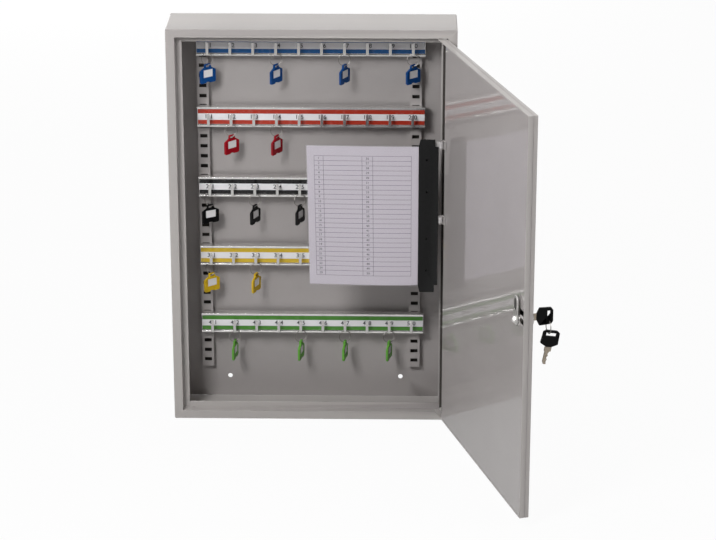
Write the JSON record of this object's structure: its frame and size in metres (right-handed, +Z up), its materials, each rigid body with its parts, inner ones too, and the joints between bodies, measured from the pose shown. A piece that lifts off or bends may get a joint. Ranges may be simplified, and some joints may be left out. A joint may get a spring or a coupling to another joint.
{
  "type": "key cabinet",
  "caption": "Wall-hung sheet-steel key cabinet with colour-coded hook bars, key tags, a swing-out key index and a cam lock in its open, side-hinged door.",
  "frame": {"origin": "centre of the cabinet's back face, on the wall", "axes": "+Y points out of the back into the wall, the door opening faces -Y, +Z is up and +X is to the hinge side"},
  "size_m": [0.5043, 0.4144, 0.55],
  "materials": {
    "grey_coat": "satin powder coat",
    "glossy_coat": "gloss powder coat",
    "pin_steel": "zinc plated",
    "lock_metal": "bright nickel plated",
    "dark_steel": "dull plated",
    "key_nickel": "nickel silver",
    "black_plastic": "moulded black",
    "white_plastic": "moulded white",
    "clear_film": "clear film",
    "page_paper": "printed index page",
    "bar_steel": "satin plated",
    "hook_steel": "bright plated",
    "label_blue": "blue lines on white, glossy",
    "label_red": "red lines on white, glossy",
    "label_black": "black lines on white, glossy",
    "label_yellow": "yellow lines on white, glossy",
    "label_green": "green lines on white, glossy",
    "tag_blue": "glossy moulded blue, on a plated wire ring",
    "tag_red": "glossy moulded red, on a plated wire ring",
    "tag_black": "glossy moulded black, on a plated wire ring",
    "tag_yellow": "glossy moulded yellow, on a plated wire ring",
    "tag_green": "glossy moulded green, on a plated wire ring"
  },
  "bodies": {
    "root": {"casing": "grey_coat", "back_panel": "grey_coat", "hinge_pin_top": "pin_steel", "hinge_pin_bottom": "pin_steel", "rail_left": "grey_coat", "rail_right": "grey_coat"},
    "door": {"door_skin": "grey_coat", "door_liner": "glossy_coat", "lock_barrel": "lock_metal", "lock_nut": "dark_steel", "index_clip_low": "white_plastic", "index_clip_high": "white_plastic"},
    "index": {"index_eye_low": "white_plastic", "index_eye_high": "white_plastic", "index_spine": "black_plastic", "index_pocket": "clear_film", "index_page": "page_paper"},
    "lock": {"lock_plug": "lock_metal", "cam": "dark_steel", "cam_screw": "lock_metal"},
    "key": {"key_blade": "key_nickel", "key_bow": "black_plastic"},
    "key_ring": {"key_ring": "lock_metal"},
    "spare_key": {"spare_key_blade": "key_nickel", "spare_key_bow": "black_plastic"},
    "bar_blue": {"bar_blue": "bar_steel", "label_blue": "label_blue", "hooks_blue": "hook_steel"},
    "tag_blue_1": {"tag_blue_1": "tag_blue"},
    "tag_blue_4": {"tag_blue_4": "tag_blue"},
    "tag_blue_7": {"tag_blue_7": "tag_blue"},
    "tag_blue_10": {"tag_blue_10": "tag_blue"},
    "bar_red": {"bar_red": "bar_steel", "label_red": "label_red", "hooks_red": "hook_steel"},
    "tag_red_2": {"tag_red_2": "tag_red"},
    "tag_red_4": {"tag_red_4": "tag_red"},
    "bar_black": {"bar_black": "bar_steel", "label_black": "label_black", "hooks_black": "hook_steel"},
    "tag_black_1": {"tag_black_1": "tag_black"},
    "tag_black_3": {"tag_black_3": "tag_black"},
    "tag_black_5": {"tag_black_5": "tag_black"},
    "bar_yellow": {"bar_yellow": "bar_steel", "label_yellow": "label_yellow", "hooks_yellow": "hook_steel"},
    "tag_yellow_1": {"tag_yellow_1": "tag_yellow"},
    "tag_yellow_3": {"tag_yellow_3": "tag_yellow"},
    "bar_green": {"bar_green": "bar_steel", "label_green": "label_green", "hooks_green": "hook_steel"},
    "tag_green_2": {"tag_green_2": "tag_green"},
    "tag_green_5": {"tag_green_5": "tag_green"},
    "tag_green_7": {"tag_green_7": "tag_green"},
    "tag_green_9": {"tag_green_9": "tag_green"}
  },
  "joints": [
    {"name": "door_hinge", "type": "hinge", "parent": "root", "child": "door", "pos_m": [0.1736, -0.0768, 0], "axis": [0, 0, 1], "range_deg": [-107.07, 2.9]},
    {"name": "index_hinge", "type": "hinge", "parent": "door", "child": "index", "pos_m": [0.16969, -0.10938, 0], "axis": [0, 0, 1], "range_deg": [-2.9, 107.07]},
    {"name": "lock_turn", "type": "hinge", "parent": "door", "child": "lock", "pos_m": [0.27353, -0.39132, -0.002], "axis": [0.9559, 0.2935, 0], "range_deg": [0, 90]},
    {"name": "key_slide", "type": "slide", "parent": "lock", "child": "key", "axis": [0.9559, 0.2935, 0], "range_m": [0, 0.018]},
    {"name": "ring_turn", "type": "hinge", "parent": "key", "child": "key_ring", "pos_m": [0.29953, -0.38334, -0.0111], "axis": [0.9559, 0.2935, 0], "range_deg": [-90, 0]},
    {"name": "spare_swing", "type": "hinge", "parent": "key_ring", "child": "spare_key", "pos_m": [0.29953, -0.38334, -0.0249], "axis": [-0.2935, 0.9559, 0], "range_deg": [-20, 20]},
    {"name": "bar_lift_blue", "type": "slide", "parent": "root", "child": "bar_blue", "axis": [0, 0, 1], "range_m": [0, 0.002]},
    {"name": "swing_tag_blue_1", "type": "hinge", "parent": "bar_blue", "child": "tag_blue_1", "pos_m": [-0.1396, -0.0262, 0.2266], "axis": [-0.9781, 0.2079, 0], "range_deg": [-5, 30]},
    {"name": "swing_tag_blue_4", "type": "hinge", "parent": "bar_blue", "child": "tag_blue_4", "pos_m": [-0.04879, -0.0262, 0.2266], "axis": [-0.9976, -0.0698, 0], "range_deg": [-5, 30]},
    {"name": "swing_tag_blue_7", "type": "hinge", "parent": "bar_blue", "child": "tag_blue_7", "pos_m": [0.04202, -0.0262, 0.2266], "axis": [-0.9848, -0.1736, 0], "range_deg": [-5, 30]},
    {"name": "swing_tag_blue_10", "type": "hinge", "parent": "bar_blue", "child": "tag_blue_10", "pos_m": [0.13283, -0.0262, 0.2266], "axis": [-0.9903, 0.1392, 0], "range_deg": [-5, 30]},
    {"name": "bar_lift_red", "type": "slide", "parent": "root", "child": "bar_red", "axis": [0, 0, 1], "range_m": [0, 0.002]},
    {"name": "swing_tag_red_2", "type": "hinge", "parent": "bar_red", "child": "tag_red_2", "pos_m": [-0.10933, -0.0262, 0.1281], "axis": [-0.9945, 0.1045, 0], "range_deg": [-5, 30]},
    {"name": "swing_tag_red_4", "type": "hinge", "parent": "bar_red", "child": "tag_red_4", "pos_m": [-0.04879, -0.0262, 0.1281], "axis": [-0.9903, -0.1392, 0], "range_deg": [-5, 30]},
    {"name": "bar_lift_black", "type": "slide", "parent": "root", "child": "bar_black", "axis": [0, 0, 1], "range_m": [0, 0.002]},
    {"name": "swing_tag_black_1", "type": "hinge", "parent": "bar_black", "child": "tag_black_1", "pos_m": [-0.1396, -0.0262, 0.0296], "axis": [-0.9397, 0.342, 0], "range_deg": [-5, 30]},
    {"name": "swing_tag_black_3", "type": "hinge", "parent": "bar_black", "child": "tag_black_3", "pos_m": [-0.07906, -0.0262, 0.0296], "axis": [-0.9781, -0.2079, 0], "range_deg": [-5, 30]},
    {"name": "swing_tag_black_5", "type": "hinge", "parent": "bar_black", "child": "tag_black_5", "pos_m": [-0.01852, -0.0262, 0.0296], "axis": [-0.9659, -0.2588, 0], "range_deg": [-5, 30]},
    {"name": "bar_lift_yellow", "type": "slide", "parent": "root", "child": "bar_yellow", "axis": [0, 0, 1], "range_m": [0, 0.002]},
    {"name": "swing_tag_yellow_1", "type": "hinge", "parent": "bar_yellow", "child": "tag_yellow_1", "pos_m": [-0.1396, -0.0262, -0.0689], "axis": [-0.9781, 0.2079, 0], "range_deg": [-5, 30]},
    {"name": "swing_tag_yellow_3", "type": "hinge", "parent": "bar_yellow", "child": "tag_yellow_3", "pos_m": [-0.07906, -0.0262, -0.0689], "axis": [-0.9613, -0.2756, 0], "range_deg": [-5, 30]},
    {"name": "bar_lift_green", "type": "slide", "parent": "root", "child": "bar_green", "axis": [0, 0, 1], "range_m": [0, 0.002]},
    {"name": "swing_tag_green_2", "type": "hinge", "parent": "bar_green", "child": "tag_green_2", "pos_m": [-0.10933, -0.0262, -0.1674], "axis": [-0.9397, -0.342, 0], "range_deg": [-5, 30]},
    {"name": "swing_tag_green_5", "type": "hinge", "parent": "bar_green", "child": "tag_green_5", "pos_m": [-0.01852, -0.0262, -0.1674], "axis": [-0.9511, -0.309, 0], "range_deg": [-5, 30]},
    {"name": "swing_tag_green_7", "type": "hinge", "parent": "bar_green", "child": "tag_green_7", "pos_m": [0.04202, -0.0262, -0.1674], "axis": [-0.9397, -0.342, 0], "range_deg": [-5, 30]},
    {"name": "swing_tag_green_9", "type": "hinge", "parent": "bar_green", "child": "tag_green_9", "pos_m": [0.10256, -0.0262, -0.1674], "axis": [-0.9563, -0.2924, 0], "range_deg": [-5, 30]}
  ],
  "couplings": [
    {"joint": "index_hinge", "follows": "door_hinge", "ratio": -1},
    {"joint": "ring_turn", "follows": "lock_turn", "ratio": -1}
  ]
}
